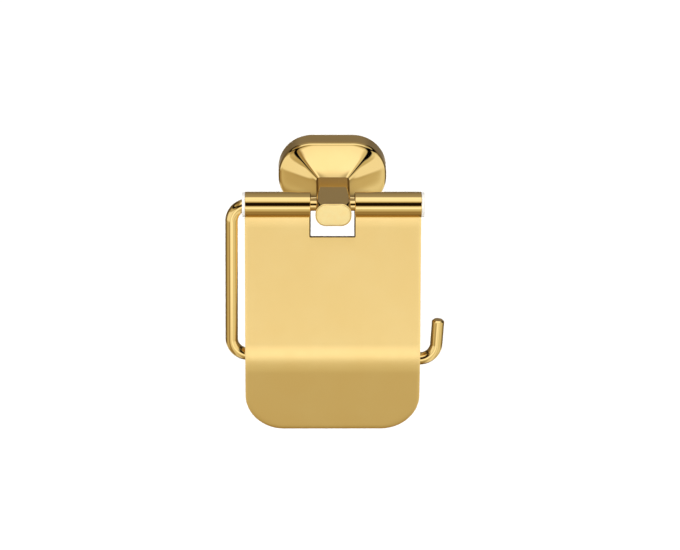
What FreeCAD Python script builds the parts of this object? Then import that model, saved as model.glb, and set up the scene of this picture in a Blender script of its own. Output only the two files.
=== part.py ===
import FreeCAD, Part
import math
import os

# A wall holder for a paper roll: a cast post, a bent rod that carries the roll, and a hinged lid
# that hangs in front of it. Sizes are in millimetres.
#
# X is to the right, +Y goes into the wall and +Z is up. The origin is the centre of the post's
# back face, on the wall. The hinge axis and the rod's top run lie along X, in front of the wall.

# Post: a rim against the wall, a four-sided pyramid with flat ridges, and a straight neck
RIM_WIDTH = 70.0
RIM_HEIGHT = 46.6
RIM_CORNER = 22.0
RIM_STRAIGHT = 11.5          # depth of the rim before its edge starts to round over
RIM_ROUND = 4.0              # radius of that rounding
RIM_ROUND_TURN = 40.0        # degrees of it that show before the pyramid's slope takes over
RIDGE_ANGLE = 56.0           # where each ridge meets the rim's corner, above the horizontal
WALL = 3.0                   # thickness of the casting
CAVITY_DEPTH = 11.0
CAVITY_STEP = 4.0            # the hollow narrows by this much each side, then tapers
CAVITY_TAPER_DEPTH = 14.0

NECK_WIDTH = 21.6
NECK_HEIGHT = 14.8
NECK_CORNER = 3.0
NECK_START = 33.2            # distance from the wall
FLARE_START = 71.8
NOSE_END = 76.4
NOSE_WIDTH = 22.8
NOSE_HEIGHT = 15.4
NOSE_CORNER = 6.8

# Front cap, set into the nose
CAP_BORDER = 0.8
CAP_SEAT = 1.2
CAP_PROUD = 0.5
CAP_EDGE = 0.35
CAP_GAP = 0.02

# Wall bracket and its screws' holes
BRACKET_WIDTH = 50.0
BRACKET_HEIGHT = 27.0
BRACKET_SHEET = 2.0
BRACKET_CORNER = 5.0
LIP_WIDTH = 32.0
LIP_DEPTH = 9.0              # from the wall to the lips' front edges
WALL_HOLE_RADIUS = 2.6
WALL_HOLE_SPACING = 34.0
RIB_X = 9.0                  # the casting hooks over the upper lip on two ribs
RIB_THICKNESS = 3.0

# M4 grub screws
GRUB_RADIUS = 1.98
TAPPED_RADIUS = 2.0
GRUB_CHAMFER = 0.4
SOCKET_FLATS = 2.0
SOCKET_DEPTH = 1.8
FLANGE_SCREW_DEPTH = 6.0     # distance from the wall
FLANGE_SCREW_RECESS = 0.8
BOSS_RADIUS = 4.0
BOSS_HEIGHT = 4.0
ARM_SCREW_RECESS = 0.3

# Roll rod: one bent bar, in a plane that leans out from the wall at the bottom
AXIS_DEPTH = 60.0            # hinge axis and the rod's top run, from the wall
ROD_RADIUS = 4.0
ROD_BEND = 10.9              # bend radius of the centre line
ROD_END_X = 52.0
ROD_LEAN = 5.0               # lean of the rod's plane
LEG_X = -64.7
LEG_DROP = 101.6             # from the top run to the roll bar, along the rod's plane
LEG_SPLAY = 0.3
BAR_DROOP = 1.7              # the roll bar falls a little towards the hook
HOOK_X = 66.4
HOOK_LEAN = 3.4
HOOK_HEIGHT = 27.3
ROD_CHAMFER = 1.1
BORE_RADIUS = 4.05

# Lid: a bent sheet with a tube at each side of the post
TUBE_RADIUS = 8.25
TUBE_WALL = 1.0
TUBE_GAP = 28.5              # between the two tubes' inner ends
TUBE_GAP_X = -0.35           # the gap's middle
TUBE_OUTER_X = 56.2
TUBE_EDGE = 0.3              # the tubes' end edges are broken by this much
SHEET = 1.0
LID_WIDTH = 112.8
LID_LEAN = 13.4              # lean of the sheet between the tubes and its bend
LID_LOWER_LEAN = -3.0
LID_BEND = 70.0              # radius of the bend
LID_BEND_START = -92.5       # height where it starts
LID_BOTTOM = -153.9
LID_CORNER = 25.0
LID_WRAP = 42.0              # how far the sheet's top edge wraps round the tubes, in degrees
NOTCH_WIDTH = 28.1
NOTCH_BOTTOM = -23.5

# Nylon bushes pressed into the tubes
BUSH_LENGTH = 12.0
BUSH_GAP = 0.02
BUSH_RECESS = 0.5
BUSH_FLANGE_RADIUS = 7.8
BUSH_FLANGE = 1.8
BUSH_EDGE = 0.3
MOUTH_RADIUS = 6.25          # the outer left bush opens round the rod's top bend
MOUTH_DEPTH = 5.0
CAP_BORE_END = 53.0

X_AXIS = FreeCAD.Vector(1, 0, 0)
Y_AXIS = FreeCAD.Vector(0, 1, 0)
Z_AXIS = FreeCAD.Vector(0, 0, 1)
AXIS_POINT = FreeCAD.Vector(0, -AXIS_DEPTH, 0)


def vector(x, y, z):
    return FreeCAD.Vector(x, y, z)


def cylinder(radius, length, start, direction):
    return Part.makeCylinder(radius, length, start, direction)


def tube_along_x(outer, inner, x_start, x_end):
    """A pipe about the hinge axis between two places along X."""
    start = vector(x_start, -AXIS_DEPTH, 0)
    pipe = cylinder(outer, x_end - x_start, start, X_AXIS)
    return pipe.cut(cylinder(inner, x_end - x_start, start, X_AXIS))


def box(x_range, y_range, z_range):
    sizes = [high - low for low, high in (x_range, y_range, z_range)]
    return Part.makeBox(*sizes, vector(x_range[0], y_range[0], z_range[0]))


def corner_arc(centre, radius, start_angle, end_angle, y):
    """An arc of a rounded corner in the plane at y, with angles in degrees from +X."""
    points = []
    for angle in (start_angle, (start_angle + end_angle) / 2, end_angle):
        turn = math.radians(angle)
        points.append(vector(centre[0] + radius * math.cos(turn), y,
                             centre[1] + radius * math.sin(turn)))
    return Part.Arc(*points).toShape()


def rounded_rectangle(width, height, radius, y):
    """A rounded rectangle in the plane at y, one edge for each side and each corner."""
    across = width / 2 - radius
    up = height / 2 - radius
    centres = [(across, up), (-across, up), (-across, -up), (across, -up)]
    edges = []
    for index, centre in enumerate(centres):
        arc = corner_arc(centre, radius, 90 * index, 90 * (index + 1), y)
        following = centres[(index + 1) % 4]
        turn = math.radians(90 * (index + 1))
        reach = (radius * math.cos(turn), radius * math.sin(turn))
        side = Part.makeLine(vector(centre[0] + reach[0], y, centre[1] + reach[1]),
                             vector(following[0] + reach[0], y, following[1] + reach[1]))
        edges += [arc, side]
    return Part.Wire(edges)


def slab(width, height, radius, y_front, y_back):
    """A rounded rectangle made solid between two distances from the wall."""
    face = Part.Face(rounded_rectangle(width, height, radius, y_front))
    return face.extrude(vector(0, y_back - y_front, 0))


def ridged_outline(width, height, radius, y):
    """The rim's outline, cut at the four ridges and where its arcs meet its straight sides."""
    across = width / 2 - radius
    up = height / 2 - radius
    ridge = RIDGE_ANGLE
    arcs = [
        ((across, up), ridge, 90), ((-across, up), 90, 180 - ridge),
        ((-across, up), 180 - ridge, 180), ((-across, -up), 180, 180 + ridge),
        ((-across, -up), 180 + ridge, 270), ((across, -up), 270, 360 - ridge),
        ((across, -up), 360 - ridge, 360), ((across, up), 0, ridge),
    ]
    edges = []
    for index in range(0, len(arcs), 2):
        first = corner_arc(arcs[index][0], radius, arcs[index][1], arcs[index][2], y)
        second = corner_arc(arcs[index + 1][0], radius, arcs[index + 1][1],
                            arcs[index + 1][2], y)
        straight = Part.makeLine(first.Vertexes[-1].Point, second.Vertexes[0].Point)
        edges += [first, straight, second]
    return edges


def sharp_outline(width, height, y):
    """A plain rectangle whose sides are cut in three, to pair with the rim's outline."""
    corners = [(width / 2, height / 2), (-width / 2, height / 2),
               (-width / 2, -height / 2), (width / 2, -height / 2)]
    edges = []
    for index, start in enumerate(corners):
        end = corners[(index + 1) % 4]
        marks = [vector(start[0] + (end[0] - start[0]) * part / 3, y,
                        start[1] + (end[1] - start[1]) * part / 3) for part in range(4)]
        edges += [Part.makeLine(marks[part], marks[part + 1]) for part in range(3)]
    return edges


def grub_screw(length, tip, direction):
    """A headless screw that ends at tip, driven along direction, with a hexagonal socket."""
    start = tip - direction * length
    body = cylinder(GRUB_RADIUS, length - 2 * GRUB_CHAMFER, start + direction * GRUB_CHAMFER,
                    direction)
    narrow = GRUB_RADIUS - GRUB_CHAMFER
    head = Part.makeCone(narrow, GRUB_RADIUS, GRUB_CHAMFER, start, direction)
    point = Part.makeCone(GRUB_RADIUS, narrow, GRUB_CHAMFER, tip - direction * GRUB_CHAMFER,
                          direction)
    radius = SOCKET_FLATS / math.sqrt(3)
    across = X_AXIS * radius
    points = []
    for step in range(7):
        turned = FreeCAD.Rotation(direction, 60 * step).multVec(across)
        points.append(start + turned)
    socket = Part.Face(Part.makePolygon(points)).extrude(direction * SOCKET_DEPTH)
    return body.fuse([head, point]).removeSplitter().cut(socket)


def wall_bracket():
    plate = slab(BRACKET_WIDTH, BRACKET_HEIGHT, BRACKET_CORNER, -BRACKET_SHEET, 0)
    outer = BRACKET_HEIGHT / 2
    for low in (outer - BRACKET_SHEET, -outer):
        lip = box((-LIP_WIDTH / 2, LIP_WIDTH / 2), (-LIP_DEPTH, 0), (low, low + BRACKET_SHEET))
        plate = plate.fuse(lip)
    for side in (-1, 1):
        start = vector(side * WALL_HOLE_SPACING / 2, -LIP_DEPTH, 0)
        plate = plate.cut(cylinder(WALL_HOLE_RADIUS, 2 * LIP_DEPTH, start, Y_AXIS))
    return plate.removeSplitter()


def post_shell():
    """The casting's outside: rim, pyramid, neck and flared nose."""
    turn = math.radians(RIM_ROUND_TURN)
    inset = RIM_ROUND * (1 - math.cos(turn))
    pyramid_base = RIM_STRAIGHT + RIM_ROUND * math.sin(turn)
    rim = slab(RIM_WIDTH, RIM_HEIGHT, RIM_CORNER, -(RIM_STRAIGHT + RIM_ROUND), 0)
    front_edges = [edge for edge in rim.Edges
                   if edge.BoundBox.YMax < -(RIM_STRAIGHT + RIM_ROUND) + 0.01]
    rim = rim.makeFillet(RIM_ROUND, front_edges)
    rim = rim.common(box((-RIM_WIDTH, RIM_WIDTH), (-pyramid_base, 0), (-RIM_WIDTH, RIM_WIDTH)))
    base = ridged_outline(RIM_WIDTH - 2 * inset, RIM_HEIGHT - 2 * inset, RIM_CORNER - inset,
                          -pyramid_base)
    top = sharp_outline(NECK_WIDTH, NECK_HEIGHT, -NECK_START)
    pyramid = Part.makeLoft([Part.Wire(base), Part.Wire(top)], True, True)
    neck = slab(NECK_WIDTH, NECK_HEIGHT, NECK_CORNER, -FLARE_START, -pyramid_base)
    nose = Part.makeLoft([
        rounded_rectangle(NECK_WIDTH, NECK_HEIGHT, NECK_CORNER, -FLARE_START),
        rounded_rectangle(NOSE_WIDTH, NOSE_HEIGHT, NOSE_CORNER, -NOSE_END),
    ], True, True)
    return rim.fuse([pyramid, neck, nose]).removeSplitter()


def post_cavity():
    width = RIM_WIDTH - 2 * WALL
    height = RIM_HEIGHT - 2 * WALL
    corner = RIM_CORNER - WALL
    straight = slab(width, height, corner, -CAVITY_DEPTH, 0)
    taper = Part.makeLoft([
        rounded_rectangle(width - 2 * CAVITY_STEP, height - 2 * CAVITY_STEP,
                          corner - CAVITY_STEP, -CAVITY_DEPTH),
        rounded_rectangle(width / 3, height / 3, corner / 3, -CAVITY_DEPTH - CAVITY_TAPER_DEPTH),
    ], True, True)
    return straight.fuse(taper)


def post_body():
    post = post_shell().cut(post_cavity())
    lip_face = BRACKET_HEIGHT / 2
    roof = RIM_HEIGHT / 2 - WALL / 2
    for side in (-1, 1):
        middle = side * RIB_X
        rib = box((middle - RIB_THICKNESS / 2, middle + RIB_THICKNESS / 2),
                  (-CAVITY_DEPTH, -BRACKET_SHEET), (lip_face, roof))
        post = post.fuse(rib)
    screw_axis = vector(0, -FLANGE_SCREW_DEPTH, -RIM_HEIGHT / 2)
    boss = cylinder(BOSS_RADIUS, BOSS_HEIGHT + WALL / 2,
                    screw_axis + Z_AXIS * (WALL / 2), Z_AXIS)
    post = post.fuse(boss)
    post = post.cut(cylinder(TAPPED_RADIUS, WALL + BOSS_HEIGHT, screw_axis, Z_AXIS))
    post = post.cut(cylinder(BORE_RADIUS, 2 * NECK_WIDTH, AXIS_POINT - X_AXIS * NECK_WIDTH,
                             X_AXIS))
    arm_hole = vector(0, -AXIS_DEPTH, -NECK_HEIGHT / 2)
    post = post.cut(cylinder(TAPPED_RADIUS, NECK_HEIGHT / 2, arm_hole, Z_AXIS))
    seat = slab(NOSE_WIDTH - 2 * CAP_BORDER, NOSE_HEIGHT - 2 * CAP_BORDER,
                NOSE_CORNER - CAP_BORDER, -NOSE_END, -(NOSE_END - CAP_SEAT))
    return post.cut(seat).removeSplitter()


def arm_badge():
    """A blank cap that closes the front of the arm."""
    border = CAP_BORDER + CAP_GAP
    front = -(NOSE_END + CAP_PROUD)
    cap = slab(NOSE_WIDTH - 2 * border, NOSE_HEIGHT - 2 * border, NOSE_CORNER - border,
               front, -(NOSE_END - CAP_SEAT))
    edges = [edge for edge in cap.Edges if edge.BoundBox.YMax < front + 0.01]
    return cap.makeFillet(CAP_EDGE, edges)


def bracket_set_screw():
    tip = vector(0, -FLANGE_SCREW_DEPTH, -BRACKET_HEIGHT / 2)
    length = RIM_HEIGHT / 2 - FLANGE_SCREW_RECESS - BRACKET_HEIGHT / 2
    return grub_screw(length, tip, Z_AXIS)


def rod_set_screw():
    tip = vector(0, -AXIS_DEPTH, -ROD_RADIUS)
    length = NECK_HEIGHT / 2 - ARM_SCREW_RECESS - ROD_RADIUS
    return grub_screw(length, tip, Z_AXIS)


def rod_corners():
    """Where the rod's straight runs would cross, in its own plane, from the hidden end on."""
    leg_foot_x = LEG_X - LEG_DROP * math.tan(math.radians(LEG_SPLAY))
    fall = (HOOK_X - leg_foot_x) * math.tan(math.radians(BAR_DROOP))
    hook_foot = vector(HOOK_X, 0, -LEG_DROP - fall)
    lean = math.radians(HOOK_LEAN)
    hook_tip = hook_foot + vector(math.sin(lean), 0, math.cos(lean)) * HOOK_HEIGHT
    return [vector(ROD_END_X, 0, 0), vector(LEG_X, 0, 0), vector(leg_foot_x, 0, -LEG_DROP),
            hook_foot, hook_tip]


def rod_end(tip, outward):
    """The chamfered end of the rod."""
    start = tip - outward * ROD_CHAMFER
    return Part.makeCone(ROD_RADIUS, ROD_RADIUS - ROD_CHAMFER, ROD_CHAMFER, start, outward)


def rod_bend(start, incoming, outgoing):
    """A bend of the rod from start, turning from one direction to the other."""
    turn = incoming.getAngle(outgoing)
    axis = incoming.cross(outgoing).normalize()
    inward = axis.cross(incoming)
    section = Part.Face(Part.Wire(Part.makeCircle(ROD_RADIUS, start, incoming)))
    return section.revolve(start + inward * ROD_BEND, axis, math.degrees(turn))


def roll_rod():
    """Top run through the post, left leg, roll bar and an upturned hook, as one bar."""
    corners = rod_corners()
    runs = [(end - start).normalize() for start, end in zip(corners, corners[1:])]
    start = corners[0] + runs[0] * ROD_CHAMFER
    pieces = [rod_end(corners[0], runs[0] * -1)]
    for corner, incoming, outgoing in zip(corners[1:], runs, runs[1:]):
        reach = ROD_BEND * math.tan(incoming.getAngle(outgoing) / 2)
        bend_start = corner - incoming * reach
        pieces.append(cylinder(ROD_RADIUS, (bend_start - start).Length, start, incoming))
        pieces.append(rod_bend(bend_start, incoming, outgoing))
        start = corner + outgoing * reach
    last = corners[-1] - runs[-1] * ROD_CHAMFER
    pieces.append(cylinder(ROD_RADIUS, (last - start).Length, start, runs[-1]))
    pieces.append(rod_end(corners[-1], runs[-1]))
    rod = pieces[0].fuse(pieces[1:]).removeSplitter()
    rod.translate(AXIS_POINT)
    rod.rotate(AXIS_POINT, X_AXIS, -ROD_LEAN)
    return rod


def lid_profile(offset):
    """A line along the sheet in the YZ plane, at an offset from its face on the tubes.

    It wraps round the back of the tubes, runs straight, bends and runs straight again."""
    lean = math.radians(LID_LEAN)
    lower = math.radians(LID_LOWER_LEAN)
    wrap_radius = TUBE_RADIUS + offset
    bend_radius = LID_BEND - offset

    def on_wrap(angle):
        return AXIS_POINT + vector(0, math.cos(angle), math.sin(angle)) * wrap_radius

    upper_start = on_wrap(-lean)
    fall = upper_start.z - LID_BEND_START + offset * math.sin(lean)
    bend_start = upper_start - vector(0, fall * math.tan(lean), fall)
    centre = bend_start + vector(0, math.cos(lean), -math.sin(lean)) * bend_radius

    def on_bend(angle):
        return centre + vector(0, -math.cos(angle), math.sin(angle)) * bend_radius

    bend_end = on_bend(lower)
    fall = bend_end.z - LID_BOTTOM
    bottom = bend_end - vector(0, fall * math.tan(lower), fall)
    wrap_top = math.radians(LID_WRAP) - lean
    return [
        Part.Arc(on_wrap(wrap_top), on_wrap((wrap_top - lean) / 2), upper_start).toShape(),
        Part.makeLine(upper_start, bend_start),
        Part.Arc(bend_start, on_bend((lean + lower) / 2), bend_end).toShape(),
        Part.makeLine(bend_end, bottom),
    ]


def lid_plate():
    front = lid_profile(0)
    back = lid_profile(SHEET)
    ends = [Part.makeLine(front[end].Vertexes[end].Point, back[end].Vertexes[end].Point)
            for end in (0, -1)]
    section = Part.Face(Part.Wire(Part.__sortEdges__(front + back + ends)))
    section.translate(vector(-LID_WIDTH / 2, 0, 0))
    sheet = section.extrude(vector(LID_WIDTH, 0, 0))
    return sheet.common(lid_outline())


def lid_outline():
    """A tall block with the lid's front view: rounded lower corners and a notch at the top."""
    half = LID_WIDTH / 2
    flat = half - LID_CORNER
    low = LID_BOTTOM + LID_CORNER
    high = 2 * TUBE_RADIUS
    notch_right = TUBE_GAP_X + NOTCH_WIDTH / 2
    notch_left = notch_right - NOTCH_WIDTH
    corners = [(half, low), (half, high), (notch_right, high), (notch_right, NOTCH_BOTTOM),
               (notch_left, NOTCH_BOTTOM), (notch_left, high), (-half, high), (-half, low)]
    points = [vector(x, 0, z) for x, z in corners]
    edges = [Part.makeLine(start, end) for start, end in zip(points, points[1:])]
    edges += [
        corner_arc((-flat, low), LID_CORNER, 180, 270, 0),
        Part.makeLine(vector(-flat, 0, LID_BOTTOM), vector(flat, 0, LID_BOTTOM)),
        corner_arc((flat, low), LID_CORNER, 270, 360, 0),
    ]
    face = Part.Face(Part.Wire(edges))
    return face.extrude(vector(0, -2 * AXIS_DEPTH, 0))


def tube_inner_end(side):
    """How far a tube's inner end is from the middle: side is 1 on the right, -1 on the left."""
    return TUBE_GAP / 2 + side * TUBE_GAP_X


def on_side(shape, side):
    """A piece of the right tube's, kept or mirrored to the left."""
    return shape if side > 0 else shape.mirror(vector(0, 0, 0), X_AXIS)


def lid_tube(side):
    inner = TUBE_RADIUS - TUBE_WALL
    tube = tube_along_x(TUBE_RADIUS, inner, tube_inner_end(side), TUBE_OUTER_X)
    rims = [edge for edge in tube.Edges
            if len(edge.Vertexes) == 1 and edge.BoundBox.ZMax > inner + TUBE_WALL / 2]
    return on_side(tube.makeChamfer(TUBE_EDGE, rims), side)


def inner_bush(side):
    """The sleeve at the inner end of a tube."""
    start = tube_inner_end(side) + BUSH_RECESS
    radius = TUBE_RADIUS - TUBE_WALL - BUSH_GAP
    return on_side(tube_along_x(radius, BORE_RADIUS, start, start + BUSH_LENGTH), side)


def flanged_plug():
    """A plug at a tube's outer end, with a thin flange, before its bore is cut."""
    radius = TUBE_RADIUS - TUBE_WALL - BUSH_GAP
    sleeve = cylinder(radius, BUSH_LENGTH, vector(TUBE_OUTER_X - BUSH_LENGTH, -AXIS_DEPTH, 0),
                      X_AXIS)
    flange = cylinder(BUSH_FLANGE_RADIUS, BUSH_FLANGE, vector(TUBE_OUTER_X, -AXIS_DEPTH, 0),
                      X_AXIS)
    face = TUBE_OUTER_X + BUSH_FLANGE
    rim = [edge for edge in flange.Edges if edge.BoundBox.XMin > face - 0.01]
    return sleeve.fuse(flange.makeFillet(BUSH_EDGE, rim)).removeSplitter()


def outer_bush():
    """The left outer bush: open, with a mouth that clears the rod's top bend."""
    face = TUBE_OUTER_X + BUSH_FLANGE
    bore = cylinder(BORE_RADIUS, face, AXIS_POINT, X_AXIS)
    mouth = Part.makeCone(BORE_RADIUS, MOUTH_RADIUS, MOUTH_DEPTH,
                          AXIS_POINT + X_AXIS * (face - MOUTH_DEPTH), X_AXIS)
    return on_side(flanged_plug().cut([bore, mouth]), -1)


def end_cap_bush():
    """The right outer bush: closed, so the rod's end doesn't show."""
    bore = cylinder(BORE_RADIUS, CAP_BORE_END, AXIS_POINT, X_AXIS)
    return flanged_plug().cut(bore)


def main():
    nodes = {
        "wall_bracket": wall_bracket(),
        "post_body": post_body(),
        "bracket_set_screw": bracket_set_screw(),
        "arm_badge": arm_badge(),
        "roll_rod": roll_rod(),
        "rod_set_screw": rod_set_screw(),
        "lid_plate": lid_plate(),
        "lid_tube_left": lid_tube(-1),
        "lid_tube_right": lid_tube(1),
        "outer_bush_left": outer_bush(),
        "inner_bush_left": inner_bush(-1),
        "inner_bush_right": inner_bush(1),
        "end_cap_bush_right": end_cap_bush(),
    }
    os.makedirs("parts", exist_ok=True)
    for name, shape in nodes.items():
        solid = shape.Solids[0]
        print(name, len(shape.Solids), solid.isValid(), round(solid.Volume, 1))
        solid.exportStep(f"parts/{name}.step")


main()
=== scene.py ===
import math

import bmesh
import bpy
import numpy as np
from mathutils import Matrix, Quaternion, Vector


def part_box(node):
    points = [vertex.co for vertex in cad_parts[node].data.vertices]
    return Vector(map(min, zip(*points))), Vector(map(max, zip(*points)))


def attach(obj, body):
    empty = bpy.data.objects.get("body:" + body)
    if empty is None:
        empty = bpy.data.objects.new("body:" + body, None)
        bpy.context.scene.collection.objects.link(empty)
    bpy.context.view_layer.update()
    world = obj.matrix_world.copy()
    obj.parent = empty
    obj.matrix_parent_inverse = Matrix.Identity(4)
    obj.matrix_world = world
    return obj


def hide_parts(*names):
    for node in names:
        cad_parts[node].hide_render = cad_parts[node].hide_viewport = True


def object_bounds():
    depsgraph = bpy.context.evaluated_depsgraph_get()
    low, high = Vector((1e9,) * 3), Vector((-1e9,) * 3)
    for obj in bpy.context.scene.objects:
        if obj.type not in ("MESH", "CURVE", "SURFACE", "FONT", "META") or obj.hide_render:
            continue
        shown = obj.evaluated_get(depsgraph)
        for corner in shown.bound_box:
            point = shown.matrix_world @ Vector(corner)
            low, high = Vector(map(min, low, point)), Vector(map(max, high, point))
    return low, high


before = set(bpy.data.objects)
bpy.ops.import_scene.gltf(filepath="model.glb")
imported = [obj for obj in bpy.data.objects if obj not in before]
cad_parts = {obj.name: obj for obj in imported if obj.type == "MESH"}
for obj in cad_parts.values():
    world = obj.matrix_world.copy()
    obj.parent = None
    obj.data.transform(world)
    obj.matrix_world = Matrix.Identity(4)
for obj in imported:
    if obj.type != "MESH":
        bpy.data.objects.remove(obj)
CAD_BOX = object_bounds()

MM = 0.001

# Post, in metres: the CAD casting with softened ridges and slightly hollower faces
RIM_SIZE = (0.070, 0.0466)
RIM_CORNER = 0.022
RIM_STRAIGHT = 0.0115
RIM_ROUND = 0.004
RIM_ROUND_TURN = math.radians(40)
RIDGE_ANGLE = math.radians(56)
BACK_EDGE = 0.0004
NECK_SIZE = (0.0216, 0.0148)
NECK_START = 0.0332
FLARE_START = 0.0718
NOSE_END = 0.0764
NOSE_SIZE = (0.0228, 0.0154)
NOSE_CORNER = 0.0068
NOSE_EDGE = 0.00022
RIDGE_SOFT = (0.0014, 0.0060)     # width of the ridges' softening at the rim and at the neck
HOLLOW = 1.22                     # the pyramid's faces are a little hollow from rim to neck
WALL = 0.003
CAVITY_DEPTH = 0.011
CAVITY_TAPER_DEPTH = 0.014
CAVITY_STEP = 0.004
CAP_BORDER = 0.0008
CAP_GAP = 0.00002
CAP_SEAT = 0.0012
CAP_EDGE = 0.00035
CAP_DOME = 0.00012
LIP_FACE = 0.0135                 # upper face of the bracket's upper lip
RIB_X = 0.009
RIB_THICKNESS = 0.003
RIB_START = 0.002
RIB_EDGE = 0.0004
BOSS_RADIUS = 0.004
BOSS_HEIGHT = 0.004
FLANGE_SCREW_DEPTH = 0.006
TAPPED_RADIUS = 0.002
BORE_RADIUS = 0.00405

# Wall bracket
BRACKET_SHEET = 0.002
BRACKET_CORNER = 0.005
LIP_HALF = 0.016
LIP_BEND = 0.0026                 # outer bend radius between plate and lip
WALL_HOLE_RADIUS = 0.0026
WALL_HOLE_X = 0.017
BRACKET_EDGE = 0.00018

# Screws
THREAD_PITCH = 0.0007
THREAD_DEPTH = 0.0003
THREAD_FLANK = 2.2                # above 2, the groove between the flanks has a flat floor
SOCKET_RADIUS = 0.002 / math.sqrt(3)
SOCKET_DEPTH = 0.0018
SCREW_CHAMFER = 0.0004

# Roll rod, in its own plane: X across, Z up
ROD_RADIUS = 0.004
ROD_BEND = 0.0109
ROD_END_X = 0.052
ROD_LEAN = math.radians(5)
LEG_X = -0.0647
LEG_DROP = 0.1016
LEG_SPLAY = math.radians(0.3)
BAR_DROOP = math.radians(1.7)
HOOK_X = 0.0664
HOOK_LEAN = math.radians(3.4)
HOOK_HEIGHT = 0.0273
ROD_CHAMFER = 0.0011

# Lid
TUBE_WALL = 0.001
TUBE_EDGE = 0.0003
TUBE_TAPER = 0.0022               # the last stretch of each tube's outer end, swaged in a little
TUBE_TAPER_FALL = 0.00006
SHEET = 0.001
LID_LEAN = math.radians(13.4)
LID_LOWER_LEAN = math.radians(-3)
LID_BEND = 0.070
LID_BEND_START = -0.0925
LID_CORNER = 0.025
LID_WRAP = math.radians(42)
NOTCH_X = (-0.0144, 0.0137)
NOTCH_BOTTOM = -0.0235
LID_ROLL = 0.00016                # how far the polished edges fall away
LID_ROLL_WIDTH = 0.0026
NOTCH_ROLL = 0.00013              # and round the notch
NOTCH_ROLL_WIDTH = 0.0011
NOTCH_DARK_WIDTH = 0.00080        # how far round the notch the sheet is painted dark, as painted shade along the punched edge
LID_EDGE = 0.0002
BOW = 0.00024                     # the sheet stands this far forward just under the tubes
BOW_START = -0.003                # height where it starts to
BOW_TOP = -0.0115                 # height where it is furthest forward
BOW_FOOT = -0.0185                # height where it is back on its plane
LID_FOOT_RISE = 0.00010           # keeps the tilted foot's thickness above the CAD's lowest point

# Bushes
BUSH_LENGTH = 0.012
BUSH_RECESS = 0.0005
BUSH_EDGE = 0.0003
MOUTH_RADIUS = 0.00625
MOUTH_DEPTH = 0.005
CAP_BORE_END = 0.053
MARK_RADIUS = 0.0013              # the moulding mark in the end cap's face
MARK_DEPTH = 0.00015

# Mesh steps
SIDE_STEPS = 48                   # along each of the post's four sides
SIDE_CROWDING = 0.72              # how far those steps are moved towards the ridges
PYRAMID_ROWS = 28
COARSE_STEPS = 24                 # along each side of a hidden outline
BEVEL_ANGLE = math.radians(40)    # edges sharper than this are eased
SOFT_STEPS = 5                    # along a rounded edge
SOFT_GUARD = 0.00006              # from a rounded edge to the first point on a straight
TURNED_STEPS = 128                # round a turned piece
CUTTER_STEPS = 64
THREAD_STEPS = 48
THREAD_ROWS = 14                  # for each turn of the thread
ROD_STEPS = 96
NOTCH_STEPS = 7
LID_NEAR_EDGE = (0, 0.25, 0.5, 0.75, 1.0, 1.3, 1.65, 2.0, 2.4, 2.9)   # mesh lines, in mm

# Camera
CAMERA_SENSOR = 36.0              # millimetres, as the lens
CAMERA_LENS = 174.65
CAMERA_ELEVATION = math.radians(25)
CAMERA_YAW = math.radians(0.9)
CAMERA_ROLL = math.radians(-0.37)
CAMERA_DISTANCE = 2.1
CAMERA_TARGET = Vector((0.0043, -0.0789, -0.0406))

FLOOR_DROP = 0.42                 # the floor is this far under the object

tube_low, tube_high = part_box("lid_tube_right")
AXIS_Y = (tube_low.y + tube_high.y) / 2
TUBE_RADIUS = (tube_high.z - tube_low.z) / 2
TUBE_OUTER_X = tube_high.x
SLEEVE_RADIUS = TUBE_RADIUS - TUBE_WALL - CAP_GAP
AXIS = Vector((0, AXIS_Y, 0))
cap_low, cap_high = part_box("end_cap_bush_right")
FLANGE_RADIUS = (cap_high.z - cap_low.z) / 2
FLANGE_FACE = cap_high.x
lid_low, lid_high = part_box("lid_plate")
LID_HALF = lid_high.x
LID_FOOT = lid_low.z + LID_FOOT_RISE


# ---- Mesh helpers

def evenly(start, stop, steps):
    """Values in even steps from start to stop, both of them included."""
    return [start + (stop - start) * step / steps for step in range(steps + 1)]


def round_turn(steps):
    """Angles in even steps over a whole turn."""
    return [2 * math.pi * step / steps for step in range(steps)]


def add_object(name, data):
    piece = bpy.data.objects.new(name, data)
    bpy.context.scene.collection.objects.link(piece)
    return piece


def mesh_from(name, points, faces, sharp=30):
    """A mesh with outward normals and smooth shading, creased at edges sharper than the angle."""
    mesh = bpy.data.meshes.new(name)
    mesh.from_pydata([tuple(point) for point in points], [], faces)
    tidy_mesh(mesh, sharp)
    return mesh


def tidy_mesh(mesh, sharp=30):
    work = bmesh.new()
    work.from_mesh(mesh)
    bmesh.ops.remove_doubles(work, verts=work.verts, dist=1e-7)
    bmesh.ops.recalc_face_normals(work, faces=work.faces)
    for face in work.faces:
        face.smooth = True
    work.to_mesh(mesh)
    work.free()
    mesh.set_sharp_from_angle(angle=math.radians(sharp))
    mesh.update()


def grid_faces(rows, columns, closed_rows, closed_columns):
    """Quads of a grid whose points are numbered row by row."""
    faces = []
    for row in range(rows if closed_rows else rows - 1):
        here = row * columns
        there = (row + 1) % rows * columns
        for column in range(columns if closed_columns else columns - 1):
            following = (column + 1) % columns
            faces.append((here + column, here + following, there + following, there + column))
    return faces


def skin(name, rings, sharp=30):
    """Quads between closed rings of equal length, with a face over each end."""
    count = len(rings[0])
    points = [point for ring in rings for point in ring]
    faces = grid_faces(len(rings), count, False, True)
    faces.append(tuple(range(count)))
    faces.append(tuple(range(len(points) - count, len(points))))
    return add_object(name, mesh_from(name, points, faces, sharp))


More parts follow.
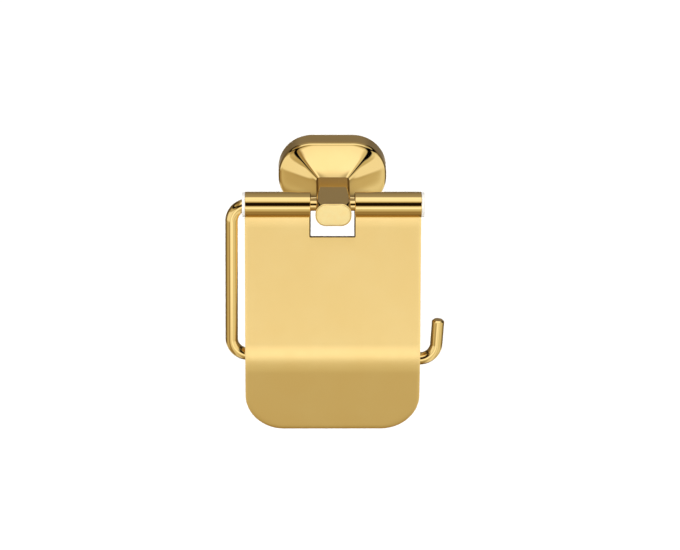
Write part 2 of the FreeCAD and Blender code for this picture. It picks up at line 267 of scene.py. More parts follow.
def soft_corner(before, corner, after, radius):
    """Points of an arc that rounds a corner, with a guard point on each straight beside it."""
    back = (before - corner).normalized()
    on = (after - corner).normalized()
    half = back.angle(on) / 2
    reach = radius / math.tan(half)
    centre = corner + (back + on).normalized() * (radius / math.sin(half))
    start = corner + back * reach - centre
    end = corner + on * reach - centre
    turn = start.angle(end)
    arc = [centre + (start * math.sin(turn - angle) + end * math.sin(angle)) / math.sin(turn)
           for angle in evenly(0, turn, SOFT_STEPS)]
    return [corner + back * (reach + SOFT_GUARD)] + arc + [corner + on * (reach + SOFT_GUARD)]


def soft_line(corners, closed):
    """A line through (along, radius, rounding) corners, each rounded as it says."""
    places = [Vector((along, out, 0)) for along, out, _ in corners]
    line = []
    for index, (place, corner) in enumerate(zip(places, corners)):
        at_end = not closed and index in (0, len(corners) - 1)
        if at_end or corner[2] == 0:
            line.append(place)
        else:
            before = places[index - 1]
            after = places[(index + 1) % len(places)]
            line += soft_corner(before, place, after, corner[2])
    return line


def revolve(name, corners, closed=True, side=1):
    """Turns a line of (x, radius, rounding) corners round the hinge axis; side -1 mirrors it."""
    line = soft_line(corners, closed)
    points = [Vector((side * place.x, AXIS_Y + place.y * math.cos(angle),
                      place.y * math.sin(angle)))
              for angle in round_turn(TURNED_STEPS) for place in line]
    faces = grid_faces(TURNED_STEPS, len(line), True, closed)
    return add_object(name, mesh_from(name, points, faces))


def cylinder(name, start, end, radius):
    """A plain cylinder between two points, to cut a round hole or add a boss."""
    along = (end - start).normalized()
    across = along.orthogonal().normalized()
    other = along.cross(across)
    rings = [[centre + (across * math.cos(angle) + other * math.sin(angle)) * radius
              for angle in round_turn(CUTTER_STEPS)] for centre in (start, end)]
    return skin(name, rings)


def block(name, low, high, edge):
    """A box with rounded edges."""
    work = bmesh.new()
    bmesh.ops.create_cube(work, size=1)
    for vert in work.verts:
        vert.co = Vector(low[k] + (vert.co[k] + 0.5) * (high[k] - low[k]) for k in range(3))
    bmesh.ops.bevel(work, geom=work.edges, offset=edge, segments=3, profile=0.5,
                    affect="EDGES")
    mesh = bpy.data.meshes.new(name)
    work.to_mesh(mesh)
    work.free()
    tidy_mesh(mesh)
    return add_object(name, mesh)


def combine(piece, tool, operation):
    """Cuts, adds or keeps with another closed mesh, and removes that mesh."""
    change = piece.modifiers.new("combine", "BOOLEAN")
    change.operation = operation
    change.solver = "EXACT"
    change.object = tool
    change.material_mode = "TRANSFER"
    bpy.context.view_layer.update()
    shown = piece.evaluated_get(bpy.context.evaluated_depsgraph_get())
    made = bpy.data.meshes.new_from_object(shown)
    piece.modifiers.clear()
    piece.data = made
    bpy.data.objects.remove(tool)


# ---- Post

def outline(size, corner, ridge, steps=SIDE_STEPS):
    """A rounded rectangle as (x, z) pairs, in four sides that each run from ridge to ridge.

    A side is an arc, a straight and an arc. Each would take a third of the steps, but they are
    then crowded towards the ridges."""
    across = size[0] / 2 - corner
    up = size[1] / 2 - corner
    centres = [(across, up), (-across, up), (-across, -up), (across, -up), (across, up)]
    ridges = [ridge, math.pi - ridge, math.pi + ridge, 2 * math.pi - ridge, 2 * math.pi + ridge]
    places = []
    for side in range(4):
        first, second = centres[side:side + 2]
        start, end = ridges[side:side + 2]
        middle = (side + 1) * math.pi / 2
        straight_start = turned(first, corner, middle)
        straight_end = turned(second, corner, middle)
        for step in range(steps):
            share = spread(step / steps) * 3
            if share < 1:
                places.append(turned(first, corner, start + (middle - start) * share))
            elif share < 2:
                places.append(straight_start + (straight_end - straight_start) * (share - 1))
            else:
                places.append(turned(second, corner, middle + (end - middle) * (share - 2)))
    return np.array(places)


def turned(centre, radius, angle):
    return np.array((centre[0] + radius * math.cos(angle), centre[1] + radius * math.sin(angle)))


def spread(share):
    """Moves even shares of a side towards its two ends, where the ridges are."""
    return share - SIDE_CROWDING * math.sin(2 * math.pi * share) / (2 * math.pi)


def inset_outline(size, corner, ridge, inset):
    """A rounded rectangle made smaller by an inset all round."""
    return outline((size[0] - 2 * inset, size[1] - 2 * inset), corner - inset, ridge)


def rim_outline(inset):
    return inset_outline(RIM_SIZE, RIM_CORNER, RIDGE_ANGLE, inset)


def nose_outline(inset):
    return inset_outline(NOSE_SIZE, NOSE_CORNER, math.pi / 4, inset)


def sharp_outline(size):
    corners = np.array([(size[0], size[1]), (-size[0], size[1]),
                        (-size[0], -size[1]), (size[0], -size[1])]) / 2
    places = []
    for index in range(4):
        start = corners[index]
        end = corners[(index + 1) % 4]
        places += [start + (end - start) * spread(step / SIDE_STEPS)
                   for step in range(SIDE_STEPS)]
    return np.array(places)


def soften(places, width):
    """Averages a closed line over a length along it, which rounds its corners and leaves its
    straights as they are."""
    fine = 24
    following = np.roll(places, -1, axis=0)
    shares = np.arange(fine)[None, :, None] / fine
    dense = (places[:, None, :] + (following - places)[:, None, :] * shares).reshape(-1, 2)
    dense = np.vstack([dense, dense[:1]])
    steps = np.linalg.norm(np.diff(dense, axis=0), axis=1)
    along = np.concatenate([[0], np.cumsum(steps)])
    total = along[-1]
    middles = (dense[1:] + dense[:-1]) / 2
    sums = np.vstack([np.zeros((1, 2)), np.cumsum(middles * steps[:, None], axis=0)])

    def sum_to(place):
        turns = np.floor(place / total)
        rest = place - turns * total
        found = np.stack([np.interp(rest, along, sums[:, k]) for k in range(2)], axis=1)
        return found + turns[:, None] * sums[-1]

    own = along[:-1:fine]
    return (sum_to(own + width / 2) - sum_to(own - width / 2)) / width


def ring_at(places, depth):
    return [Vector((x, -depth, z)) for x, z in places]


def rim_rings():
    """The flange from its back edge to the foot of the pyramid, and that foot's depth."""
    rings = []
    for angle in evenly(0, math.pi / 2, 4):
        rings.append(ring_at(rim_outline(BACK_EDGE * (1 - math.sin(angle))),
                             BACK_EDGE * (1 - math.cos(angle))))
    for depth in (2 * BACK_EDGE, RIM_STRAIGHT - 2 * BACK_EDGE):
        rings.append(ring_at(rim_outline(0), depth))
    for angle in evenly(0, RIM_ROUND_TURN, 12):
        rings.append(ring_at(rim_outline(RIM_ROUND * (1 - math.cos(angle))),
                             RIM_STRAIGHT + RIM_ROUND * math.sin(angle)))
    return rings


def pyramid_rings():
    """The four hollow faces, whose ridges get softer towards the neck."""
    base = rim_outline(RIM_ROUND * (1 - math.cos(RIM_ROUND_TURN)))
    base_depth = RIM_STRAIGHT + RIM_ROUND * math.sin(RIM_ROUND_TURN)
    top = sharp_outline(NECK_SIZE)
    rings = []
    for share in evenly(0, 1, PYRAMID_ROWS)[1:]:
        width = RIDGE_SOFT[0] + (RIDGE_SOFT[1] - RIDGE_SOFT[0]) * share
        places = soften(base + (top - base) * share, width)
        rings.append(ring_at(places, base_depth + (NECK_START - base_depth) * share ** HOLLOW))
    return rings


def arm_rings():
    """The arm, its flared nose and the floor of the badge's seat."""
    neck = soften(sharp_outline(NECK_SIZE), RIDGE_SOFT[1])
    rings = [ring_at(neck, depth)
             for depth in (NECK_START + 0.1 * MM, (NECK_START + FLARE_START) / 2,
                           FLARE_START - 0.1 * MM, FLARE_START)]
    nose = nose_outline(0)
    for share in evenly(0, 1, 6)[1:]:
        depth = FLARE_START + (NOSE_END - NOSE_EDGE - FLARE_START) * share
        rings.append(ring_at(neck + (nose - neck) * share, depth))
    for angle in evenly(0, math.pi / 2, 3)[1:]:
        rings.append(ring_at(nose_outline(NOSE_EDGE * (1 - math.cos(angle))),
                             NOSE_END - NOSE_EDGE * (1 - math.sin(angle))))
    seat = nose_outline(CAP_BORDER)
    return rings + [ring_at(seat, NOSE_END), ring_at(seat, NOSE_END - CAP_SEAT)]


def cavity():
    """The hollow behind the flange, as a solid to cut with."""
    width = RIM_SIZE[0] - 2 * WALL
    height = RIM_SIZE[1] - 2 * WALL
    corner = RIM_CORNER - WALL
    stages = [
        ((width, height), corner, -WALL),
        ((width, height), corner, CAVITY_DEPTH),
        ((width - 2 * CAVITY_STEP, height - 2 * CAVITY_STEP), corner - CAVITY_STEP,
         CAVITY_DEPTH),
        ((width / 3, height / 3), corner / 3, CAVITY_DEPTH + CAVITY_TAPER_DEPTH),
    ]
    return skin("cavity", [ring_at(outline(size, radius, math.pi / 4, COARSE_STEPS), depth)
                           for size, radius, depth in stages])


def build_post(polished, cast):
    post = skin("post_casting", rim_rings() + pyramid_rings() + arm_rings())
    post.data.materials.append(polished)
    hollow = cavity()
    roof = RIM_SIZE[1] / 2 - WALL / 2
    screw_foot = Vector((0, -FLANGE_SCREW_DEPTH, -RIM_SIZE[1] / 2))
    boss_top = screw_foot.z + WALL + BOSS_HEIGHT
    ribs = []
    for side in (-1, 1):
        ribs.append(block("rib", (side * RIB_X - RIB_THICKNESS / 2, -CAVITY_DEPTH, LIP_FACE),
                          (side * RIB_X + RIB_THICKNESS / 2, -RIB_START, roof), RIB_EDGE))
    boss = cylinder("boss", screw_foot + Vector((0, 0, WALL / 2)),
                      Vector((0, -FLANGE_SCREW_DEPTH, boss_top)), BOSS_RADIUS)
    added = ribs + [boss]
    drill_start = screw_foot - Vector((0, 0, WALL))
    holes = [
        cylinder("flange_hole", drill_start,
                   Vector((0, -FLANGE_SCREW_DEPTH, boss_top + WALL)), TAPPED_RADIUS),
        cylinder("bore", AXIS - Vector((NECK_SIZE[0], 0, 0)),
                   AXIS + Vector((NECK_SIZE[0], 0, 0)), BORE_RADIUS),
        cylinder("arm_hole", AXIS - Vector((0, 0, NECK_SIZE[1])), AXIS, TAPPED_RADIUS),
    ]
    for tool in [hollow] + added + holes:
        tool.data.materials.append(cast)
    combine(post, hollow, "DIFFERENCE")
    for tool in added:
        combine(post, tool, "UNION")
    for tool in holes:
        combine(post, tool, "DIFFERENCE")
    tidy_mesh(post.data)
    return post


def build_badge():
    """The blank cap in the front of the arm, with a soft edge and a slight dome."""
    border = CAP_BORDER + CAP_GAP
    low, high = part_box("arm_badge")
    front = -low.y
    shoulder = front - CAP_DOME - CAP_EDGE
    side = nose_outline(border)
    rings = [ring_at(side, -high.y), ring_at(side, shoulder - 0.1 * MM)]
    for angle in evenly(0, math.pi / 2, 8):
        rings.append(ring_at(nose_outline(border + CAP_EDGE * (1 - math.cos(angle))),
                             shoulder + CAP_EDGE * math.sin(angle)))
    edge = nose_outline(border + CAP_EDGE)
    for share in evenly(1, 0, 20)[1:-1]:
        rings.append(ring_at(edge * share, front - CAP_DOME * share ** 2))
    return skin("front_badge", rings, sharp=50)


# ---- Bracket and screws

def bracket_section():
    """The bracket's side view, (depth, z) pairs: a plate with a lip bent forward at each end."""
    low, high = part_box("wall_bracket")
    centre_z = high.z - LIP_BEND

    def face(radius):
        """One face of the sheet, from the upper lip's tip round the bend to the plate."""
        return [(-low.y, centre_z + radius)] + [
            (LIP_BEND - radius * math.sin(angle), centre_z + radius * math.cos(angle))
            for angle in evenly(0, math.pi / 2, 8)]

    upper = face(LIP_BEND - BRACKET_SHEET)[::-1] + face(LIP_BEND)
    return upper + [(depth, -z) for depth, z in reversed(upper)]


def build_bracket():
    low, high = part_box("wall_bracket")
    section = bracket_section()
    rings = [[Vector((x, -depth, z)) for depth, z in section] for x in (-LIP_HALF, LIP_HALF)]
    bracket = skin("wall_bracket_pressing", rings)
    plate_places = outline((high.x - low.x, high.z - low.z), BRACKET_CORNER, math.pi / 4,
                           COARSE_STEPS)
    plate = skin("plate", [ring_at(plate_places, depth) for depth in (0, BRACKET_SHEET)])
    combine(bracket, plate, "UNION")
    for side in (-1, 1):
        start = Vector((side * WALL_HOLE_X, -2 * BRACKET_SHEET, 0))
        end = Vector((side * WALL_HOLE_X, BRACKET_SHEET, 0))
        combine(bracket, cylinder("wall_hole", start, end, WALL_HOLE_RADIUS), "DIFFERENCE")
    tidy_mesh(bracket.data, 35)
    add_bevel(bracket, BRACKET_EDGE)
    return bracket


def add_bevel(piece, width):
    soft = piece.modifiers.new("edges", "BEVEL")
    soft.width = width
    soft.segments = 3
    soft.limit_method = "ANGLE"
    soft.angle_limit = BEVEL_ANGLE
    soft.harden_normals = True


def build_screw(name, node):
    """A headless screw with a real helical thread and a hexagonal socket in its lower end."""
    low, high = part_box(node)
    centre = (low + high) / 2
    radius = (high.x - low.x) / 2
    length = high.z - low.z
    angles = round_turn(THREAD_STEPS)
    rings = []

    def ring(z, radii):
        rings.append([Vector((centre.x + out * math.cos(angle), centre.y + out * math.sin(angle),
                              z)) for angle, out in zip(angles, radii)])

    flats = [(angle + math.pi / 6) % (math.pi / 3) - math.pi / 6 for angle in angles]
    hexagon = [SOCKET_RADIUS * math.cos(math.pi / 6) / math.cos(within) for within in flats]
    ring(low.z + SOCKET_DEPTH, [SOCKET_RADIUS * 0.05] * THREAD_STEPS)
    ring(low.z + SOCKET_DEPTH - 0.3 * MM, [0.9 * out for out in hexagon])
    ring(low.z + SOCKET_DEPTH - 0.35 * MM, hexagon)
    ring(low.z, hexagon)
    for z in evenly(low.z, high.z, int(length / THREAD_PITCH * THREAD_ROWS)):
        chamfer = radius - SCREW_CHAMFER + min(z - low.z, high.z - z)
        radii = []
        for k in range(THREAD_STEPS):
            phase = (z / THREAD_PITCH - k / THREAD_STEPS) % 1
            flank = min(1, THREAD_FLANK * abs(phase - 0.5))
            radii.append(min(radius - THREAD_DEPTH * flank, chamfer))
        ring(z, radii)
    return skin(name, rings, sharp=60)


# ---- Rod

def rod_corners():
    foot_x = LEG_X - LEG_DROP * math.tan(LEG_SPLAY)
    fall = (HOOK_X - foot_x) * math.tan(BAR_DROOP)
    hook_foot = Vector((HOOK_X, 0, -LEG_DROP - fall))
    hook_tip = hook_foot + Vector((math.sin(HOOK_LEAN), 0, math.cos(HOOK_LEAN))) * HOOK_HEIGHT
    return [Vector((ROD_END_X, 0, 0)), Vector((LEG_X, 0, 0)), Vector((foot_x, 0, -LEG_DROP)),
            hook_foot, hook_tip]


def rod_line():
    """(place, direction) pairs along the rod: straight runs joined by arcs."""
    corners = rod_corners()
    runs = [(end - start).normalized() for start, end in zip(corners, corners[1:])]
    guard = 0.2 * MM
    line = []
    for corner, incoming, outgoing in zip(corners[1:], runs, runs[1:]):
        turn = incoming.angle(outgoing)
        reach = ROD_BEND * math.tan(turn / 2)
        start = corner - incoming * reach
        axis = incoming.cross(outgoing).normalized()
        centre = start + axis.cross(incoming) * ROD_BEND
        line.append((start - incoming * guard, incoming))
        for angle in evenly(0, turn, 40):
            swing = Quaternion(axis, angle)
            line.append((centre + swing @ (start - centre), swing @ incoming))
        line.append((corner + outgoing * (reach + guard), outgoing))
    return corners, runs, line


def rod_end_stages():
    """(distance from the tip, radius) pairs of the rod's chamfered end, its edges eased."""
    flat = ROD_RADIUS - ROD_CHAMFER
    ease = 0.25 * MM
    corner = Vector((0, flat, 0))
    shoulder = Vector((ROD_CHAMFER, ROD_RADIUS, 0))
    stages = [Vector((0, 0.02 * MM, 0)), Vector((0, flat * 0.6, 0))]
    stages += soft_corner(stages[-1], corner, shoulder, ease)
    stages += soft_corner(corner, shoulder, Vector((2 * ROD_CHAMFER, ROD_RADIUS, 0)), ease)
    return [(stage.x, stage.y) for stage in stages]


def build_rod():
    corners, runs, line = rod_line()
    stages = rod_end_stages()
    rows = [(corners[0] + runs[0] * far, runs[0], radius) for far, radius in stages]
    rows += [(place, direction, ROD_RADIUS) for place, direction in line]
    rows += [(corners[-1] - runs[-1] * far, runs[-1], radius)
             for far, radius in reversed(stages)]
    lean = Matrix.Rotation(-ROD_LEAN, 3, "X")
    out = Vector((0, -1, 0))
    rings = []
    for place, direction, radius in rows:
        across = direction.cross(out).normalized()
        rings.append([lean @ (place + (out * math.cos(angle) + across * math.sin(angle)) * radius)
                      + AXIS for angle in round_turn(ROD_STEPS)])
    return skin("roll_bar_rod", rings)


# ---- Lid

def lid_rows():
    """(y, z, normal y, normal z) of the sheet's middle line, from its wrapped top to its foot."""
    middle = SHEET / 2
    wrap_radius = TUBE_RADIUS + middle
    bend_radius = LID_BEND - middle
    guard = 0.15 * MM
    rows = [(AXIS_Y + wrap_radius * math.cos(angle), wrap_radius * math.sin(angle),
             -math.cos(angle), -math.sin(angle))
            for angle in evenly(LID_WRAP - LID_LEAN, -LID_LEAN, 20)]

    top_y, top_z = rows[-1][:2]
    normal = (-math.cos(LID_LEAN), math.sin(LID_LEAN))
    bend_z = LID_BEND_START - middle * math.sin(LID_LEAN)
    straight_top = NOTCH_BOTTOM - NOTCH_ROLL_WIDTH
    heights = [top_z - guard, *evenly(BOW_START, BOW_TOP, 8)[:-1], *evenly(BOW_TOP, BOW_FOOT, 8),
               *evenly(NOTCH_BOTTOM, straight_top, NOTCH_STEPS),
               *evenly(straight_top, bend_z, 10)[1:-1], bend_z + guard]
    for z in heights:
        rows.append((top_y - (top_z - z) * math.tan(LID_LEAN) - bow(z), z, *normal))

    bend_y = top_y - (top_z - bend_z) * math.tan(LID_LEAN)
    centre_y = bend_y + bend_radius * math.cos(LID_LEAN)
    centre_z = bend_z - bend_radius * math.sin(LID_LEAN)
    rows += [(centre_y - bend_radius * math.cos(angle), centre_z + bend_radius * math.sin(angle),
              -math.cos(angle), math.sin(angle)) for angle in evenly(LID_LEAN, LID_LOWER_LEAN, 32)]

    foot_y, foot_z = rows[-1][:2]
    normal = (-math.cos(LID_LOWER_LEAN), math.sin(LID_LOWER_LEAN))
    corner_z = LID_FOOT + LID_CORNER
    heights = [foot_z - guard, (foot_z + corner_z) / 2]
    heights += [corner_z - LID_CORNER * math.sin(angle) for angle in evenly(0, math.pi / 2, 30)]
    for z in heights:
        rows.append((foot_y - (foot_z - z) * math.tan(LID_LOWER_LEAN), z, *normal))
    return rows


def bow(z):
    """How far the sheet stands forward of its plane at a height."""
    if z > BOW_TOP:
        share = max(0, min(1, (BOW_START - z) / (BOW_START - BOW_TOP)))
        return BOW * share ** 2 * (3 - 2 * share)
    return BOW * max(0, (z - BOW_FOOT) / (BOW_TOP - BOW_FOOT)) ** 2


def lid_half(z):
    """Half the lid's width at a height: its lower corners are rounded."""
    below = LID_FOOT + LID_CORNER - z
    if below <= 0:
        return LID_HALF
    return LID_HALF - LID_CORNER + math.sqrt(max(0, LID_CORNER ** 2 - below ** 2))


def edge_distance(x, z):
    """How far a place on the lid is from its side or bottom edge."""
    flat = LID_HALF - LID_CORNER
    corner_z = LID_FOOT + LID_CORNER
    if z < corner_z and abs(x) > flat:
        return LID_CORNER - math.hypot(abs(x) - flat, corner_z - z)
    return min(LID_HALF - abs(x), z - LID_FOOT)


def notch_distance(x, z):
    """How far a place on the lid is from the notch."""
    return math.hypot(max(0, NOTCH_X[0] - x, x - NOTCH_X[1]), max(0, NOTCH_BOTTOM - z))


def fall_at(x, z):
    """How far the sheet falls away where it is near an edge."""
    near_side = max(0, 1 - edge_distance(x, z) / LID_ROLL_WIDTH)
    near_notch = max(0, 1 - notch_distance(x, z) / NOTCH_ROLL_WIDTH)
    return LID_ROLL * near_side ** 2 + NOTCH_ROLL * near_notch ** 2


def lid_columns(half):
    """Places across the lid, left of the notch, over it and right of it: close at the edges."""
    blocks = []
    for sign, notch_edge in ((-1, NOTCH_X[0]), (1, NOTCH_X[1])):
        by_notch = evenly(notch_edge, notch_edge + sign * NOTCH_ROLL_WIDTH, NOTCH_STEPS)
        by_edge = [sign * (half - near * MM) for near in LID_NEAR_EDGE]
        between = evenly(by_notch[-1], by_edge[-1], 8)[1:-1]
        blocks.append(by_notch + between + by_edge[::-1])
    return blocks[0][::-1], evenly(*NOTCH_X, 6)[1:-1], blocks[1]


def build_lid(finish, notch_shade_finish):
    """The sheet's middle surface, made thick. Its faces beside the notch are painted near black,
    as painted shade along the notch's edge.
    """
    rows = lid_rows()
    points = []
    places = {}
    for row, (y, z, normal_y, normal_z) in enumerate(rows):
        left, middle, right = lid_columns(lid_half(z))
        columns = left + middle + right
        for column, x in enumerate(columns):
            in_notch = len(left) <= column < len(left) + len(middle)
            if in_notch and z > NOTCH_BOTTOM + 1e-6:
                continue
            fall = fall_at(x, z)
            places[row, column] = len(points)
            points.append((x, y - normal_y * fall, z - normal_z * fall))
    faces = []
    # True for the faces near the notch, which are painted near black as painted shade
    cut = []
    for row in range(len(rows) - 1):
        for column in range(len(columns) - 1):
            corners = [(row, column), (row, column + 1), (row + 1, column + 1),
                       (row + 1, column)]
            if all(corner in places for corner in corners):
                face = [places[corner] for corner in corners]
                middle = np.mean([points[corner] for corner in face], axis=0)
                faces.append(face)
                cut.append(notch_distance(middle[0], middle[2]) < NOTCH_DARK_WIDTH)
    mesh = bpy.data.meshes.new("lid_sheet")
    mesh.from_pydata(points, [], faces)
    mesh.materials.append(finish)
    mesh.materials.append(notch_shade_finish)
    mesh.polygons.foreach_set("material_index", cut)
    tidy_mesh(mesh, 180)
    lid = add_object("lid_sheet", mesh)
    thick = lid.modifiers.new("thickness", "SOLIDIFY")
    thick.thickness = SHEET
    thick.offset = 0
    thick.use_even_offset = True
    add_bevel(lid, LID_EDGE)
    return lid


def tube_inner_end(side):
    low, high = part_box("lid_tube_right" if side > 0 else "lid_tube_left")
    return low.x if side > 0 else -high.x


def build_tube(name, side):
    inner = TUBE_RADIUS - TUBE_WALL
    start = tube_inner_end(side)
    end = TUBE_OUTER_X
    corners = [
        (start, TUBE_RADIUS, TUBE_EDGE), (end - TUBE_TAPER, TUBE_RADIUS, 0.0006),
        (end, TUBE_RADIUS - TUBE_TAPER_FALL, TUBE_EDGE), (end, inner, 0.0001),
        (start, inner, 0.0001),
    ]
    return revolve(name, corners, side=side)


def build_sleeve(name, side):
    start = tube_inner_end(side) + BUSH_RECESS
    corners = [(start, SLEEVE_RADIUS, BUSH_EDGE), (start + BUSH_LENGTH, SLEEVE_RADIUS, BUSH_EDGE),
               (start + BUSH_LENGTH, BORE_RADIUS, 0.0002), (start, BORE_RADIUS, BUSH_EDGE)]
    return revolve(name, corners, side=side)


def build_outer_bush():
    sleeve_end = TUBE_OUTER_X - BUSH_LENGTH
    corners = [
        (sleeve_end, SLEEVE_RADIUS, BUSH_EDGE), (TUBE_OUTER_X, SLEEVE_RADIUS, 0),
        (TUBE_OUTER_X, FLANGE_RADIUS, 0.00008), (FLANGE_FACE, FLANGE_RADIUS, BUSH_EDGE),
        (FLANGE_FACE, MOUTH_RADIUS, BUSH_EDGE),
        (FLANGE_FACE - MOUTH_DEPTH, BORE_RADIUS, 0.0004), (sleeve_end, BORE_RADIUS, 0.0002),
    ]
    return revolve("left_bush", corners, side=-1)


def build_end_cap():
    """The closed right bush, with a shallow moulding mark in the middle of its face."""
    mark_floor = FLANGE_FACE - MARK_DEPTH
    sleeve_end = TUBE_OUTER_X - BUSH_LENGTH
    corners = [
        (CAP_BORE_END, 0, 0), (CAP_BORE_END, BORE_RADIUS, 0.0002),
        (sleeve_end, BORE_RADIUS, BUSH_EDGE), (sleeve_end, SLEEVE_RADIUS, BUSH_EDGE),
        (TUBE_OUTER_X, SLEEVE_RADIUS, 0), (TUBE_OUTER_X, FLANGE_RADIUS, 0.00008),
        (FLANGE_FACE, FLANGE_RADIUS, BUSH_EDGE), (FLANGE_FACE, 2 * MARK_RADIUS, 0.0002),
        (mark_floor, MARK_RADIUS, 0.0002), (mark_floor, 0, 0),
    ]
    return revolve("right_end_cap", corners, closed=False)


# ---- Node helpers

MIX_FIRST, MIX_SECOND, MIX_RESULT = 6, 7, 2     # a mix node's sockets for colours


class Graph:
    """A node tree, and short ways to add to it what the materials and the studio use."""

    def __init__(self, tree):
        self.nodes = tree.nodes
        self.links = tree.links

    def feed(self, socket, value):
        """Links another node's output to a socket, or puts a number or a colour in it."""
        if isinstance(value, bpy.types.NodeSocket):
            self.links.new(value, socket)
        elif isinstance(value, tuple):
            socket.default_value = (*value, 1)
        else:
            socket.default_value = value

    def maths(self, operation, *values):
        node = self.nodes.new("ShaderNodeMath")
        node.operation = operation
        for socket, value in zip(node.inputs, values):
            self.feed(socket, value)
        return node.outputs["Value"]

    def product(self, first, *others):
        for other in others:
            first = self.maths("MULTIPLY", first, other)
        return first

    def remap(self, value, low, high, start=0.3, stop=0.7, interpolation="LINEAR"):
        """Maps start to low and stop to high. A noise runs from about 0.3 to 0.7."""
        node = self.nodes.new("ShaderNodeMapRange")
        node.interpolation_type = interpolation
        for name, setting in (("Value", value), ("From Min", start), ("From Max", stop),
                              ("To Min", low), ("To Max", high)):
            self.feed(node.inputs[name], setting)
        return node.outputs["Result"]

    def rise(self, value, edges):
        """From 0 to 1, softly, between two edges."""
        return self.remap(value, 0, 1, *edges, "SMOOTHSTEP")

    def fall(self, value, edges):
        return self.remap(value, 1, 0, *edges, "SMOOTHSTEP")

    def band(self, value, edges):
        """1 between the middle two of four edges and 0 outside the outer two."""
        return self.product(self.rise(value, edges[:2]), self.fall(value, edges[2:]))

    def blend(self, share, first, second):
        node = self.nodes.new("ShaderNodeMix")
        node.data_type = "RGBA"
        self.feed(node.inputs["Factor"], share)
        self.feed(node.inputs[MIX_FIRST], first)
        self.feed(node.inputs[MIX_SECOND], second)
        return node.outputs[MIX_RESULT]

    def noise(self, scale, detail, stretch=(1, 1, 1), roughness=0.5):
        """A noise over the object's own space; scale is in features per metre."""
        place = self.nodes.new("ShaderNodeTexCoord")
        mapping = self.nodes.new("ShaderNodeMapping")
        mapping.inputs["Scale"].default_value = stretch
        texture = self.nodes.new("ShaderNodeTexNoise")
        self.feed(texture.inputs["Scale"], scale)
        self.feed(texture.inputs["Detail"], detail)
        self.feed(texture.inputs["Roughness"], roughness)
        self.links.new(place.outputs["Object"], mapping.inputs["Vector"])
        self.links.new(mapping.outputs["Vector"], texture.inputs["Vector"])
        return texture.outputs["Fac"]


class Finish(Graph):
    """A procedural material."""

    def __init__(self, name, metallic=0.0):
        self.material = bpy.data.materials.new(name)
        self.material.use_nodes = True
        super().__init__(self.material.node_tree)
        self.shader = self.nodes["Principled BSDF"]
        self.set("Metallic", metallic)

    def set(self, name, value):
        self.feed(self.shader.inputs[name], value)

    def drift(self, low, high, scale, detail, **shape):
        """A value that drifts between two over the surface."""
        return self.remap(self.noise(scale, detail, **shape), low, high)

    def tint(self, first, second, scale, detail):
        """A colour that drifts between two over the surface."""
        return self.blend(self.drift(0, 1, scale, detail), first, second)

    def edges(self, high):
        """From 0 on the flat to a value on a raised edge."""
        geometry = self.nodes.new("ShaderNodeNewGeometry")
        return self.remap(geometry.outputs["Pointiness"], 0, high, 0.52, 0.60)

    def bump(self, height, distance, strength):
        """distance is the bump's height in metres."""
        node = self.nodes.new("ShaderNodeBump")
        self.feed(node.inputs["Strength"], strength)
        self.feed(node.inputs["Distance"], distance)
        self.feed(node.inputs["Height"], height)
        self.set("Normal", node.outputs["Normal"])


# ---- Materials

def polished_gold(name, smoothest, roughest):
    """Polished gold plating: faint clouds of tint, a soft buffing grain and paler edges."""
    gold = Finish(name, metallic=1.0)
    tint = gold.tint((0.975, 0.705, 0.285), (0.990, 0.735, 0.315), 38, 4)
    gold.set("Base Color", gold.blend(gold.edges(0.5), tint, (1.0, 0.80, 0.42)))
    film = gold.drift(smoothest, roughest, 120, 5, roughness=0.6)
    gold.set("Roughness", gold.maths("ADD", film, gold.edges(0.06)))
    gold.bump(gold.noise(900, 2, stretch=(0.12, 1, 1)), 0.000002, 0.25)
    return gold.material


def cast_gold():
    """The plated casting where it isn't polished: inside the flange and in the holes."""
    gold = Finish("cast_gold", metallic=1.0)
    gold.set("Base Color", gold.tint((0.52, 0.37, 0.16), (0.80, 0.60, 0.28), 160, 5))
    gold.set("Roughness", gold.drift(0.34, 0.52, 700, 4))
    gold.bump(gold.noise(1500, 4), 0.00012, 0.5)
    return gold.material


def notch_shade_gold():
    """The sheet round the notch, painted near black and dull: painted shade along the punched
    edge.
    """
    gold = Finish("notch_shade_gold", metallic=1.0)
    gold.set("Base Color", gold.tint((0.045, 0.026, 0.008), (0.085, 0.052, 0.017), 420, 4))
    gold.set("Roughness", gold.drift(0.28, 0.44, 900, 3))
    return gold.material


def satin_gold():
    """The badge: bead-blasted and brushed gold, which spreads its highlights."""
    gold = Finish("satin_gold", metallic=0.72)
    gold.set("Base Color", gold.tint((1.0, 0.79, 0.36), (1.0, 0.83, 0.42), 260, 4))
    gold.set("Roughness", gold.drift(0.34, 0.44, 1800, 3))
    gold.bump(gold.noise(5200, 3, stretch=(0.05, 1, 1)), 0.00002, 0.35)
    return gold.material


def white_nylon():
    """Moulded white nylon, slightly uneven and slightly see-through."""
    nylon = Finish("white_nylon")
    nylon.set("Base Color", nylon.tint((0.60, 0.60, 0.595), (0.66, 0.66, 0.655), 300, 4))
    nylon.set("Roughness", nylon.drift(0.36, 0.50, 1400, 3))
    nylon.set("Subsurface Weight", 0.15)
    nylon.shader.inputs["Subsurface Radius"].default_value = (0.0012, 0.0011, 0.001)
    nylon.set("Subsurface Scale", 1.0)
    nylon.bump(nylon.noise(2600, 2), 0.00002, 0.3)
    return nylon.material


